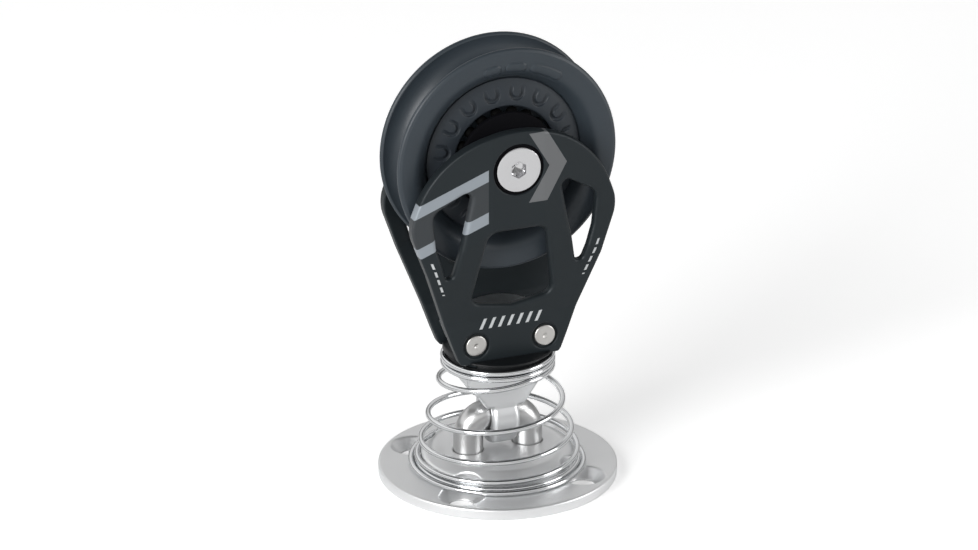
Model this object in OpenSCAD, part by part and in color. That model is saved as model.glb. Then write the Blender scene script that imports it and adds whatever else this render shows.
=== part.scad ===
// Stand-up block: a single sheave block that a conical spring holds upright over a round deck fitting.
// Z is up, Y is the axis of the sheave, and the origin is at the middle of the underside of the deck plate.

/* [Deck fitting] */
// Diameter of the deck plate
plate_d = 83; // [80:0.5:100]
// Thickness of the deck plate
plate_t = 4; // [3:0.5:8]
// Diameter of the raised boss that centres the spring
boss_d = 53.4; // [50:0.2:56]
// Diameter of the flat top of the boss
boss_top_d = 45; // [38:0.5:48]
// Height of the boss above the plate
boss_h = 6.2; // [4:0.2:7]
// Height of the sloping shoulder of the boss
boss_shoulder_h = 2.2; // [1:0.2:3]
// Distance from the plate's edge to the middle of a deck screw
deck_screw_inset = 9.5; // [8.6:0.1:10.4]
// Clearance hole of a deck screw
deck_screw_hole_d = 8.5; // [5:0.1:9]
// Countersink of a deck screw
deck_screw_sink_d = 16; // [11:0.5:16.5]

/* [Padeye] */
// Diameter of the padeye's round bar
eye_bar_d = 10.4; // [9:0.1:11]
// Distance between the middles of the padeye's legs
eye_span = 22; // [21.8:0.1:25]
// Bend radius at the middle of the bar
eye_bend_r = 7.3; // [6.8:0.1:9]
// Height of the crossbar's middle above the boss
eye_rise = 12.2; // [12:0.1:14]

/* [Head] */
// Thickness of the forged head between the cheeks
head_t = 16; // [14:0.5:18]
// Radius of the round top of the head
head_top_r = 23.1; // [22:0.1:25]
// Distance of the head's edge inside the cheeks' outline
head_inset = 3; // [0.8:0.1:3.2]
// Width of the head's neck inside the spring
neck_w = 28.4; // [26:0.2:30]
// Width of the flat face where it runs into the loop
neck_foot_w = 13.6; // [12:0.2:16]
// Height of the foot of the flat face above the crossbar's middle
neck_foot_rise = 5; // [4:0.5:6]
// Width of the loop round the padeye
loop_w = 10; // [8:0.1:10.2]
// Outer radius of the loop
loop_r = 9.8; // [9.6:0.1:10.4]
// Depth of the loop's middle below the crossbar's middle
loop_drop = 0.6; // [0:0.1:1]
// Diameter of the eye in the loop
loop_bore_d = 12.4; // [12:0.1:13.2]
// How far the block leans to each side
lean_limit = 18; // [10:1:20]

/* [Cheeks] */
// Height of the sheave's axis above the deck
axis_z = 120; // [118:0.5:130]
// Thickness of a cheek
cheek_t = 4; // [3:0.25:4.5]
// Distance between the outer faces of the cheeks at the axis
cheek_hub_w = 38.5; // [36:0.5:42]
// Slope of the wings behind the flat middle, as a rise for each millimetre
wing_slope = 0.14; // [0.05:0.01:0.15]
// Half width of the flat middle of a cheek
wing_start = 9.5; // [9.2:0.1:12]
// Radius of the cheek's long top arc
cheek_top_r = 37.6; // [36:0.2:40]
// Depth of that arc's centre below the sheave's axis
cheek_top_drop = 23.8; // [22:0.2:26]
// Radius of a cheek's shoulder
shoulder_r = 14; // [10:0.5:16]
// Depth of the shoulder's centre below the sheave's axis
shoulder_drop = 18.8; // [18:0.2:22]
// Radius of a cheek's bottom corner
corner_r = 5.5; // [4:0.25:6.5]
// Half width between the centres of the bottom corners
corner_x = 14; // [13.6:0.2:15]
// Height of a cheek's bottom edge above the deck
cheek_foot_z = 45.6; // [45:0.2:47]

/* [Cheek windows] */
// Radius of the middle window's upper corners
middle_top_r = 4.2; // [3:0.1:5]
// Half width between the centres of those corners
middle_top_x = 6.8; // [5:0.1:8]
// Depth of the window's top below the axis
middle_top_drop = 22.3; // [21:0.1:24]
// Radius of the middle window's lower corners
middle_low_r = 3.7; // [3:0.1:5]
// Half width between the centres of those corners
middle_low_x = 10.9; // [9:0.1:11.5]
// Depth of those corners' lower edge below the axis
middle_low_drop = 50.4; // [47:0.1:51]
// How far the window's lower edge sags in the middle
middle_sag = 2; // [0.5:0.1:2.4]
// Radius of a side window's inner upper corner
side_top_r = 2; // [1.5:0.1:2.5]
// Distance of that corner's centre from the middle
side_top_x = 18.6; // [18:0.1:20]
// Depth of that corner's centre below the axis
side_top_drop = 9; // [7:0.1:10]
// Radius of a side window's wide outer corner
side_wide_r = 4.5; // [3.5:0.1:5]
// Distance of that corner's centre from the middle
side_wide_x = 25.3; // [24:0.1:26]
// Depth of that corner's centre below the axis
side_wide_drop = 16; // [14:0.1:17]
// Distance that the outer edge then runs down
side_run = 9; // [6:0.5:11]
// Radius of a side window's lower end
side_low_r = 1.6; // [1.2:0.1:2]
// Distance of that end's centre from the middle
side_low_x = 23.9; // [23:0.1:25]
// Depth of that end's centre below the axis
side_low_drop = 36.6; // [34:0.1:38]

/* [Rivets] */
// Diameter of a rivet's shank
rivet_d = 6; // [5:0.1:7]
// Diameter of a rivet's head
rivet_head_d = 7.6; // [7.2:0.1:8.4]
// Diameter of the recess round a rivet's head
rivet_recess_d = 9.4; // [9:0.1:10]
// Depth of that recess
rivet_recess_h = 1; // [0.5:0.1:1.5]
// Distance between the rivets
rivet_span = 25.3; // [24:0.1:26]
// Height of the rivets above the deck
rivet_z = 54; // [53:0.5:56]

/* [Sheave] */
// Diameter of the sheave
sheave_d = 80; // [76:0.5:82]
// Width of the sheave over its flanges
sheave_w = 19.2; // [18:0.1:19.6]
// Radius of the rope groove
groove_r = 7; // [5:0.25:7.2]
// Depth of the rope groove below the sheave's rim
groove_depth = 9; // [8:0.2:9.4]
// Radial distance from the rim to the highest part of a flange's face
crown_in = 3.8; // [3:0.1:4.4]
// Radius of the valley inside the flanges, as a share of the sheave's
valley_share = 0.71; // [0.7:0.005:0.73]
// Half thickness of the sheave at the bottom of the valley
valley_half_t = 4.7; // [4.4:0.1:5.6]
// How far a flange's face falls from its highest part to the rim
rim_fall = 0.3; // [0.1:0.05:0.5]
// Half thickness of the web that the retainers lie on
web_half_t = 3.5; // [3:0.1:4]
// Chamfer at the outer edge of the retainers' pocket, which keeps a wall to the rope groove
pocket_chamfer = 1.2; // [0.8:0.1:1.4]
// Room between the sheave's hub and the balls
hub_room = 1.125; // [0.9:0.025:1.9]
// Angle at which the three raised pads on the front flange start
pad_from = 55; // [40:1:60]
// Height of the pads above the flange
pad_h = 0.3; // [0.2:0.05:0.35]
// Width of the pads
pad_w = 3.2; // [2.6:0.1:3.4]
// Radial distance from the rim to the middle of the pads
pad_in = 6.8; // [6:0.1:7]

/* [Bearings] */
// Diameter of the hub post, as a share of the sheave's
post_share = 0.2; // [0.19:0.005:0.21]
// Wall of the sleeve bearing
sleeve_t = 2.4; // [1.5:0.1:3]
// Half length of the sleeve bearing
sleeve_half_l = 6.5; // [5.5:0.1:6.8]
// Diameter of a thrust ball
ball_d = 4; // [3.5:0.1:4.2]
// Radius of the ring of balls, as a share of the sheave's
ball_ring_share = 0.4; // [0.39:0.005:0.405]
// Number of balls on each side
ball_count = 18; // [12:1:20]
// Radial distance from the middle of the balls to the retainer's bore
race_bore_in = 2.4; // [2.3:0.1:3]
// Thickness of the ball retainer
race_t = 3; // [2.4:0.1:3.4]
// Width of the slope round the outside of the retainer
race_slope_w = 2.8; // [2:0.1:3.4]
// Depth of that slope
race_slope_h = 1.5; // [1:0.1:1.6]
// Number of snap fingers on the retainer
finger_count = 16; // [8:1:18]
// Width of the groove round a snap finger, over all
finger_w = 5.6; // [4:0.1:5.8]
// Width of that groove's line
finger_line = 1.3; // [0.8:0.1:1.4]
// Radial distance from the end of a snap finger to the retainer's edge
finger_out = 1.8; // [1:0.1:2]
// Radial distance from the retainer's bore to a snap finger
finger_inset = 2; // [1.5:0.1:2.4]
// Depth of that groove
finger_h = 0.9; // [0.5:0.1:1]
// Radial distance from the middle of the balls to the thrust washer's edge
thrust_over = 1.2; // [0.8:0.1:2]
// Thickness of the thrust washer
thrust_t = 1.8; // [1.4:0.1:2]
// Wall of the thrust washer's collar round the post
collar_t = 1.2; // [0.8:0.1:1.3]

/* [Centre screws] */
// Thread diameter of the centre screws
screw_d = 8; // [6:0.5:8]
// Head diameter of the centre screws
screw_head_d = 16; // [14:0.5:16]
// Hexagon socket across its flats
socket_af = 5; // [4:0.5:6]
// Length of a centre screw
screw_l = 14; // [10:0.5:16]
// Width of the insulating ring round a screw's head
ring_t = 1.2; // [0.8:0.05:1.2]
// Depth of that ring below the cheek's face
ring_drop = 0.6; // [0.4:0.05:0.8]
// Height of the straight rim of a screw's head
screw_rim_h = 0.3; // [0.2:0.05:0.35]

/* [Spring] */
// Diameter of the spring's wire
wire_d = 2; // [1.6:0.1:2.2]
// Turns that lie on the plate round the boss
foot_turns = 1.45; // [1.2:0.05:1.6]
// Open turns
open_turns = 4.05; // [3.5:0.05:4.5]
// Closed turns under the seat
top_turns = 2.47; // [1:0.01:2.5]
// Distance between the closed turns, from wire to wire
closed_gap = 0.3; // [0.1:0.05:0.5]

/* [Spring seat] */
// Width of the seat's lip above the spring
seat_lip_w = 1.6; // [1.4:0.1:2.2]
// Wall of the seat's spigot outside the corners of the neck's slot
seat_wall = 1.1; // [0.7:0.05:1.5]
// Thickness of the seat's lip
seat_lip_t = 0.9; // [0.6:0.1:1.2]
// Thickness of the seat under the cheeks
seat_t = 4.2; // [3.5:0.1:5]
// Depth of the slot that the cheeks stand in
seat_pocket_h = 2.6; // [1:0.1:2.8]
// Height of the ears that fill the ends between the cheeks
ear_h = 4; // [3:0.1:5]
// Width of an ear
ear_w = 12; // [9:0.5:14]

/* [Clearances] */
// Gap between faces that bear on each other
seat_gap = 0.05; // [0.02:0.01:0.1]
// Radial running clearance of the sheave on its post
running_gap = 0.05; // [0.02:0.01:0.1]
// Clearance round the padeye's bar when the block leans
eye_gap = 0.35; // [0.3:0.05:0.5]
// Clearance of the spring's wire beside its seat and the boss
wire_gap = 0.15; // [0.12:0.01:0.25]
// Clearance of the head and the cheeks in the seat
pocket_gap = 0.3; // [0.2:0.05:0.4]
// Radial clearance of a retainer in the sheave
snap_gap = 0.2; // [0.1:0.05:0.3]
// Radial clearance of the thrust washers round the post
post_gap = 0.1; // [0.05:0.01:0.12]
// Play between the thrust washers and the balls
thrust_gap = 0.15; // [0.1:0.01:0.2]

/* [Hidden] */
$fn = 64;
steel = [0.78, 0.79, 0.80];
bright = [0.88, 0.89, 0.90];
anodised = [0.17, 0.20, 0.22];
acetal = [0.09, 0.10, 0.11];
lining = [0.35, 0.33, 0.28];

deck_screw_r = plate_d / 2 - deck_screw_inset;
boss_top_z = plate_t + boss_h;
bar_z = boss_top_z + eye_rise;
bar_r = eye_bar_d / 2;
leg_x = eye_span / 2;
bend_x = leg_x - eye_bend_r;
bend_z = bar_z - eye_bend_r;
loop_centre_z = bar_z - bar_r - seat_gap * 5 + loop_bore_d / 2;
loop_z = bar_z - loop_drop;
loop_foot_z = loop_z - loop_r;
// The block leans about the middle of the loop's foot, where it hangs under the crossbar.
lean_z = loop_foot_z + (bar_z - bar_r - loop_foot_z) / 2;

hub_y = cheek_hub_w / 2;
hub_in_y = hub_y - cheek_t;
foot_y = head_t / 2 + cheek_t;
head_y = head_t / 2 - seat_gap;
shoulder_set_in = 0.3;
shoulder_x = cheek_top_r - shoulder_r - shoulder_set_in;
corner_z = cheek_foot_z + corner_r;
dish_low_z = rivet_z + rivet_recess_d;
dish_below_shoulder = 2;
dish_high_z = axis_z - shoulder_drop - dish_below_shoulder;

wire_r = wire_d / 2;
seat_top_z = cheek_foot_z + seat_pocket_h;
seat_lip_z = seat_top_z - seat_lip_t;
seat_slot_x = neck_w / 2 + pocket_gap;
seat_slot_y = head_t / 2 + pocket_gap;
seat_spigot_r = norm([seat_slot_x, seat_slot_y]) + seat_wall;
seat_lip_r = seat_spigot_r + seat_lip_w;
seat_edge = 0.4;
// The ears and the cheeks' feet stand inside the spring's top turns, within this radius.
foot_r = seat_spigot_r - seat_edge;
ear_top_z = cheek_foot_z + ear_h;
spring_low_z = plate_t + wire_r + seat_gap;
spring_high_z = seat_lip_z - wire_r - seat_gap;
spring_boss_r = boss_d / 2 + wire_r + 2 * wire_gap;
spring_foot_r = spring_boss_r + wire_d + wire_gap;
spring_top_r = seat_spigot_r + wire_r + wire_gap;
closed_pitch = wire_d + closed_gap;
spring_start = 100;

sheave_r = sheave_d / 2;
groove_centre_r = sheave_r - groove_depth + groove_r;
valley_r = sheave_r * valley_share;
crown_r = sheave_r - crown_in;
race_r = valley_r - snap_gap;
sheave_y = sheave_w / 2;
post_d = post_share * sheave_d;
sleeve_r = post_d / 2 + running_gap;
sheave_bore_r = sleeve_r + sleeve_t + seat_gap / 2;
ball_ring_r = ball_ring_share * sheave_r;
ball_y = web_half_t + ball_d / 2 + seat_gap / 2;
race_bore_r = ball_ring_r + race_bore_in;
finger_l = race_r - finger_out - race_bore_r - finger_inset;
thrust_r = ball_ring_r + thrust_over;
thrust_y = ball_y + ball_d / 2 + thrust_gap;
collar_r = post_d / 2 + post_gap + collar_t;

// Puts a shape drawn in X and Z, with its depth along Y, into place: from y0 to y1.
module across(y0, y1) {
    translate([0, y1, 0]) rotate([90, 0, 0]) linear_extrude(height = y1 - y0) children();
}

// Revolves a profile of radius and depth about the sheave's axis.
module about_axis() {
    translate([0, 0, axis_z]) rotate([-90, 0, 0]) rotate_extrude($fn = 96) children();
}

// A cylinder along the sheave's axis, from y0 to y1, at a place x, z.
module bar_y(r, y0, y1, x = 0, z = axis_z) {
    translate([x, y0, z]) rotate([-90, 0, 0]) cylinder(r = r, h = y1 - y0);
}

// A profile of radius and depth, and its mirror image after it.
function both_ends(half) = concat(half, [for (i = [len(half) - 1:-1:0]) [half[i][0], -half[i][1]]]);

// Mirrors a rear piece to the front.
module to_front() {
    mirror([0, 1, 0]) children();
}

// One cutter for each deck screw: its clearance hole, countersink and the way in for its head.
module deck_screw_holes() {
    sink_r = deck_screw_sink_d / 2;
    hole_r = deck_screw_hole_d / 2;
    // The cone ends a little above the plate, so that its rim never meets the plate's face in one circle.
    rim_lift = 0.15;
    rim_z = plate_t + rim_lift;
    for (turn = [45:90:315]) rotate(turn) translate([deck_screw_r, 0, 0]) rotate_extrude() polygon([
        [0, -1], [hole_r, -1], [hole_r, rim_z - sink_r + hole_r], [sink_r, rim_z],
        [sink_r, boss_top_z + 1], [0, boss_top_z + 1]]);
}

// The deck plate with its spring boss, turned and drilled from one forging.
module base_plate() {
    edge = 0.6;
    color(steel) difference() {
        rotate_extrude($fn = 128) polygon([
            [0, 0], [plate_d / 2 - edge, 0], [plate_d / 2, edge], [plate_d / 2, plate_t - edge],
            [plate_d / 2 - edge, plate_t], [boss_d / 2, plate_t],
            [boss_d / 2, boss_top_z - boss_shoulder_h], [boss_top_d / 2, boss_top_z], [0, boss_top_z]]);
        deck_screw_holes();
        for (side = [-1, 1])
            translate([side * leg_x, 0, -1]) cylinder(r = bar_r + seat_gap, h = boss_top_z + 2);
    }
}

// A quarter bend of the padeye's bar, from upright to level.
module eye_bend(r) {
    translate([bend_x, 0, bend_z]) rotate([90, 0, 0])
        rotate_extrude(angle = 90) translate([eye_bend_r, 0]) circle(r = r);
}

// The padeye's bar above a given height, grown by a clearance.
module eye_bar(grow, from_z) {
    r = bar_r + grow;
    for (side = [0, 1]) mirror([side, 0, 0]) {
        translate([leg_x, 0, from_z]) cylinder(r = r, h = bend_z - from_z);
        eye_bend(r);
    }
    translate([-bend_x, 0, bar_z]) rotate([0, 90, 0]) cylinder(r = r, h = 2 * bend_x);
}

// The padeye: one round bar bent to a square arch, set through the deck plate.
module padeye() {
    weld_depth = 0.5;
    color(steel) eye_bar(0, weld_depth);
}

// Height of the wire's middle after a number of turns: flat, then ever steeper, then closed.
function spring_z(turn) =
    let (
        foot_rise = wire_d / 4,
        even = 0.1,
        top_z = spring_high_z - closed_pitch * top_turns,
        u = (turn - foot_turns) / open_turns,
        rise = top_z - spring_low_z - foot_rise)
    turn < foot_turns ? spring_low_z + foot_rise * pow(turn / foot_turns, 3)
    : u < 1 ? spring_low_z + foot_rise + rise * (even * u + (1 - even) * u * u)
    : top_z + closed_pitch * (turn - foot_turns - open_turns);

// Radius of the wire's middle after a number of turns: round the boss, then on a cone up to the seat.
function spring_r(turn) =
    let (
        low_z = boss_top_z - boss_shoulder_h,
        top_z = spring_high_z - closed_pitch * top_turns,
        step_from = 0.55,
        step_turns = 0.4,
        up = max(0, min(1, (spring_z(turn) - low_z) / (top_z - low_z))))
    turn < 1 ? spring_foot_r + (spring_boss_r - spring_foot_r) * smooth((turn - step_from) / step_turns)
    : spring_boss_r + (spring_top_r - spring_boss_r) * up;

// Rises smoothly from nought to one.
function smooth(u) = let (v = max(0, min(1, u))) v * v * (3 - 2 * v);

// The conical spring: one round wire swept along its turns as rings joined by faces.
module spring() {
    sides = 8;
    per_turn = 36;
    turns = foot_turns + open_turns + top_turns;
    rings = round(turns * per_turn);
    points = [
        for (i = [0:rings]) let (
            turn = i * turns / rings,
            angle = 360 * turn + spring_start,
            r = spring_r(turn),
            z = spring_z(turn))
            for (k = [0:sides - 1]) let (around = 360 * k / sides)
                [(r + wire_r * cos(around)) * cos(angle),
                    (r + wire_r * cos(around)) * sin(angle),
                    z + wire_r * sin(around)]];
    walls = [
        for (i = [0:rings - 1]) for (k = [0:sides - 1]) let (
            a = i * sides + k,
            b = i * sides + (k + 1) % sides)
            [a, b, b + sides, a + sides]];
    first_end = [for (k = [sides - 1:-1:0]) k];
    last_end = [for (k = [0:sides - 1]) rings * sides + k];
    color(bright)
        polyhedron(points = points, faces = concat([first_end], walls, [last_end]), convexity = 8);
}

// Outline of a cheek, drawn in X and Z.
module cheek_outline() {
    hull($fn = 96) {
        intersection() {
            translate([0, axis_z - cheek_top_drop]) circle(r = cheek_top_r, $fn = 128);
            translate([-cheek_top_r, axis_z - shoulder_drop]) square([2 * cheek_top_r, 2 * cheek_top_r]);
        }
        for (side = [-1, 1]) {
            translate([side * shoulder_x, axis_z - shoulder_drop]) circle(r = shoulder_r);
            translate([side * corner_x, corner_z]) circle(r = corner_r, $fn = 32);
        }
    }
}

// A disc below the axis, at one side of the middle.
module corner(x, drop, r) {
    translate([x, axis_z - drop]) circle(r = r, $fn = 48);
}

// The middle window: wider below, with a lower edge that sags.
module middle_window() {
    hull() {
        for (side = [-1, 1]) {
            corner(side * middle_top_x, middle_top_drop + middle_top_r, middle_top_r);
            corner(side * middle_low_x, middle_low_drop - middle_low_r, middle_low_r);
        }
        corner(0, middle_low_drop + middle_sag - middle_top_r, middle_top_r);
    }
}

// A side window: a bean between the rib and the cheek's outer edge.
module side_window() {
    hull() {
        corner(side_top_x, side_top_drop, side_top_r);
        corner(side_wide_x, side_wide_drop, side_wide_r);
        corner(side_wide_x - side_run / 10, side_wide_drop + side_run, side_wide_r);
        corner(side_low_x, side_low_drop, side_low_r);
    }
}

// The space behind a forged cheek face that stands back by a given depth.
module cheek_form(back) {
    deep = foot_y + cheek_hub_w;
    far_x = 2 * cheek_top_r;
    far_z = 2 * axis_z;
    far_y = hub_y - back - wing_slope * (far_x - wing_start);
    intersection() {
        translate([-far_x, 0, 0]) rotate([90, 0, 90]) linear_extrude(height = 2 * far_x) polygon([
            [-deep, 0], [foot_y - back, 0], [foot_y - back, dish_low_z], [hub_y - back, dish_high_z],
            [hub_y - back, far_z], [-deep, far_z]]);
        linear_extrude(height = far_z) polygon([
            [-far_x, -deep], [-far_x, far_y], [-wing_start, hub_y - back], [wing_start, hub_y - back],
            [far_x, far_y], [far_x, -deep]]);
    }
}

// The rear cheek: a forged plate, dished out round the sheave, whose foot stands inside the spring.
module rear_cheek() {
    sink_r = screw_head_d / 2 + ring_t + seat_gap;
    sink_low_r = sink_r - cheek_t + ring_drop;
    color(anodised) difference() {
        intersection() {
            across(0, cheek_hub_w) cheek_outline();
            difference() {
                cheek_form(0);
                cheek_form(cheek_t);
            }
        }
        across(0, cheek_hub_w) {
            middle_window();
            side_window();
            mirror([1, 0]) side_window();
        }
        about_axis() polygon([
            [0, hub_in_y - 1], [sink_low_r, hub_in_y - 1], [sink_low_r, hub_in_y],
            [sink_r, hub_y - ring_drop], [sink_r, hub_y + 1], [0, hub_y + 1]]);
        rotate_extrude($fn = 96) translate([foot_r, 0]) square([cheek_top_r, seat_lip_z]);
        for (side = [-1, 1]) {
            bar_y(rivet_d / 2 + seat_gap, 0, cheek_hub_w, side * rivet_span / 2, rivet_z);
            bar_y(rivet_recess_d / 2, foot_y - rivet_recess_h, cheek_hub_w, side * rivet_span / 2, rivet_z);
        }
    }
}

module front_cheek() {
    to_front() rear_cheek();
}

// The forged head: a thick tang between the cheeks that narrows to a loop round the padeye's crossbar.
module head() {
    neck_x = neck_w / 2;
    foot_x = neck_foot_w / 2;
    neck_top_z = ear_top_z + 2;
    neck_low_z = cheek_foot_z - 8;
    round_z = rivet_z - 8;
    over_ears_z = ear_top_z + 0.6;
    edge_r = 2.5;
    color(steel) difference() {
        union() {
            across(-head_y, head_y) {
                intersection() {
                    translate([0, round_z]) circle(r = head_top_r, $fn = 96);
                    offset(delta = -head_inset) cheek_outline();
                    translate([-cheek_top_r, over_ears_z]) square([2 * cheek_top_r, cheek_top_r]);
                }
                polygon([
                    [-neck_x, neck_top_z], [-neck_x, neck_low_z], [-foot_x, bar_z + neck_foot_rise],
                    [foot_x, bar_z + neck_foot_rise], [neck_x, neck_low_z], [neck_x, neck_top_z]]);
            }
            intersection() {
                translate([-loop_w / 2, 0, loop_z]) rotate([0, 90, 0])
                    cylinder(r = loop_r, h = loop_w, $fn = 96);
                across(-loop_r, loop_r) hull() {
                    translate([-loop_w / 2, loop_z]) square([loop_w, loop_r]);
                    for (side = [-1, 1])
                        translate([side * (loop_w / 2 - edge_r), loop_foot_z + edge_r])
                            circle(r = edge_r, $fn = 32);
                }
            }
        }
        translate([-neck_x, 0, loop_centre_z]) rotate([0, 90, 0]) cylinder(r = loop_bore_d / 2, h = neck_w);
        for (lean = [-lean_limit, -lean_limit / 2, 0, lean_limit / 2, lean_limit])
            translate([0, 0, lean_z]) rotate([0, lean, 0]) translate([-neck_x, 0, bar_z - lean_z])
                rotate([0, 90, 0]) cylinder(r = bar_r + eye_gap, h = neck_w);
        for (side = [-1, 1]) bar_y(rivet_d / 2 + seat_gap, -head_t, head_t, side * rivet_span / 2, rivet_z);
    }
}

// A solid rivet through both cheeks and the head, with its two formed heads.
module rivet(side) {
    shank_r = rivet_d / 2;
    head_r = rivet_head_d / 2;
    proud = 0.15;
    edge = 0.3;
    dimple_r = 0.7;
    dimple_h = 0.4;
    in_y = foot_y - rivet_recess_h + seat_gap;
    out_y = foot_y + proud;
    half = [[0, out_y - dimple_h], [dimple_r, out_y], [head_r - edge, out_y], [head_r, out_y - edge],
        [head_r, in_y], [shank_r, in_y]];
    color(steel) translate([side * rivet_span / 2, 0, rivet_z]) rotate([-90, 0, 0])
        rotate_extrude() polygon(both_ends(half));
}

module left_rivet() {
    rivet(-1);
}

module right_rivet() {
    rivet(1);
}

// The black seat: the cheeks stand in its slot beside two ears, and the spring's top turns grip its spigot.
module spring_seat() {
    pocket_y = foot_y + pocket_gap;
    loop_x = loop_w / 2 + pocket_gap;
    loop_y = loop_r + pocket_gap;
    pocket_z = cheek_foot_z - seat_gap;
    low_z = pocket_z - seat_t;
    ear_r = seat_lip_r - seat_edge / 2;
    color(acetal) difference() {
        union() {
            difference() {
                rotate_extrude($fn = 96) polygon([
                    [0, low_z], [foot_r, low_z], [seat_spigot_r, low_z + seat_edge],
                    [seat_spigot_r, seat_lip_z], [seat_lip_r, seat_lip_z],
                    [seat_lip_r, seat_top_z - seat_edge], [seat_lip_r - seat_edge, seat_top_z],
                    [0, seat_top_z]]);
                translate([-axis_z, -pocket_y, pocket_z]) cube([2 * axis_z, 2 * pocket_y, axis_z]);
            }
            intersection() {
                rotate_extrude($fn = 96) polygon([
                    [0, pocket_z - 1], [foot_r, pocket_z - 1], [foot_r, seat_lip_z],
                    [ear_r, seat_lip_z], [ear_r, ear_top_z], [0, ear_top_z]]);
                translate([-seat_lip_r, -ear_w / 2, 0]) cube([2 * seat_lip_r, ear_w, axis_z]);
            }
        }
        translate([-seat_slot_x, -seat_slot_y, 0]) cube([2 * seat_slot_x, 2 * seat_slot_y, axis_z]);
        translate([-loop_x, -loop_y, 0]) cube([2 * loop_x, 2 * loop_y, axis_z]);
    }
}

// The post that the sleeve bearing turns on, drilled at both ends for the centre screws.
module hub_post() {
    hole_l = screw_l - cheek_t + 1;
    hole_r = screw_d / 2 + seat_gap;
    end_y = hub_in_y - seat_gap;
    mouth = 0.6;
    edge = 0.3;
    half = [[0, end_y - hole_l], [hole_r, end_y - hole_l], [hole_r, end_y - mouth],
        [hole_r + mouth, end_y], [post_d / 2 - edge, end_y], [post_d / 2, end_y - edge]];
    color(steel) about_axis() polygon(both_ends(half));
}

// A countersunk centre screw with its hexagon socket.
module rear_screw() {
    head_r = screw_head_d / 2;
    shank_r = screw_d / 2;
    top_y = hub_y - seat_gap;
    edge = 0.1;
    cone_y = top_y - screw_rim_h;
    tip = 0.6;
    socket_h = 3;
    color(bright) difference() {
        about_axis() polygon([
            [0, hub_y - screw_l], [shank_r - tip, hub_y - screw_l], [shank_r, hub_y - screw_l + tip],
            [shank_r, cone_y - head_r + shank_r], [head_r, cone_y], [head_r, top_y - edge],
            [head_r - edge, top_y], [0, top_y]]);
        translate([0, top_y - socket_h, axis_z]) rotate([-90, 30, 0])
            cylinder(r = socket_af / sqrt(3), h = socket_h + 1, $fn = 6);
    }
}

module front_screw() {
    to_front() rear_screw();
}

// The thin black ring that keeps a steel screw off its aluminium cheek.
module rear_screw_ring() {
    low_y = hub_in_y + seat_gap;
    top_y = hub_y - ring_drop;
    outer = screw_head_d / 2 + ring_t;
    // The screw's cone reaches its full radius at this height.
    cone_y = hub_y - seat_gap - screw_rim_h;
    inner = screw_head_d / 2 + seat_gap;
    color(acetal) about_axis() polygon([
        [inner - (cone_y - low_y), low_y], [outer - (top_y - low_y), low_y], [outer, top_y],
        [inner - (cone_y - top_y), top_y]]);
}

module front_screw_ring() {
    to_front() rear_screw_ring();
}

// The washer that the thrust balls run on, with the collar that holds it off the cheek.
module rear_thrust_washer() {
    bore = post_d / 2 + post_gap;
    end_y = hub_in_y - seat_gap - wing_slope * max(0, collar_r - wing_start);
    color(acetal) about_axis() polygon([
        [bore, thrust_y], [thrust_r, thrust_y], [thrust_r, thrust_y + thrust_t],
        [collar_r, thrust_y + thrust_t], [collar_r, end_y], [bore, end_y]]);
}

module front_thrust_washer() {
    to_front() rear_thrust_washer();
}

// The plain composite sleeve that carries the sheave's load.
module sleeve_bearing() {
    color(lining) about_axis() translate([sleeve_r, -sleeve_half_l]) square([sleeve_t, 2 * sleeve_half_l]);
}

// Half thickness of the sheave along a flange's face: steep out of the valley, crowned, falling to the rim.
function face_y(r) =
    let (
        up = min(1, (r - valley_r) / (crown_r - valley_r)),
        out = max(0, (r - crown_r) / (sheave_r - crown_r)))
    valley_half_t + (sheave_y - valley_half_t) * (1 - pow(1 - up, 3)) - rim_fall * out * out;

// The sheave's section, from the bore out to the rim and back along the rope groove.
module sheave_section() {
    edge_r = (face_y(sheave_r) - groove_r) / 2;
    rim_r = sheave_r - edge_r;
    steps = 16;
    face = [for (i = [0:steps]) let (r = valley_r + (rim_r - valley_r) * i / steps) [r, face_y(r)]];
    hub_out_r = ball_ring_r - ball_d / 2 - hub_room;
    hub_slope = 0.6;
    half = concat(
        [[sheave_bore_r, sleeve_half_l], [hub_out_r, sleeve_half_l], [hub_out_r + hub_slope, web_half_t],
            [valley_r - pocket_chamfer, web_half_t], [valley_r, web_half_t + pocket_chamfer]],
        face);
    difference() {
        union() {
            polygon(both_ends(half));
            for (side = [-1, 1])
                translate([rim_r, side * (groove_r + edge_r)]) circle(r = edge_r, $fn = 32);
        }
        translate([groove_centre_r, 0]) circle(r = groove_r);
        translate([groove_centre_r, -groove_r]) square([sheave_r, 2 * groove_r]);
    }
}

// The sheave, with three plain raised pads on the front flange.
module sheave() {
    low_r = sheave_r - pad_in - pad_w / 2;
    high_r = low_r + pad_w;
    sunk = 1;
    color(acetal) {
        about_axis() sheave_section();
        for (pad = [[0, 20], [24, 12], [40, 10]])
            translate([0, 0, axis_z]) rotate([90, 0, 0]) rotate([0, 0, pad_from + pad[0]])
                rotate_extrude(angle = pad[1], $fn = 96) polygon([
                    [low_r, face_y(low_r) - sunk], [high_r, face_y(high_r) - sunk],
                    [high_r, face_y(high_r) + pad_h], [low_r, face_y(low_r) + pad_h]]);
    }
}

// The ring of thrust balls on the rear side.
module rear_balls() {
    color(acetal) for (i = [0:ball_count - 1])
        translate([0, ball_y, axis_z]) rotate([0, i * 360 / ball_count, 0]) translate([ball_ring_r, 0, 0])
            sphere(d = ball_d, $fn = 32);
}

module front_balls() {
    to_front() rear_balls();
}

// One snap finger's outline on the retainer's ring: round towards the axis, with a straight end.
module finger(w) {
    round_x = race_bore_r + finger_inset + finger_w / 2;
    translate([round_x, 0]) circle(d = w, $fn = 32);
    translate([round_x, -w / 2]) square([finger_l - finger_w / 2, w]);
}

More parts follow.
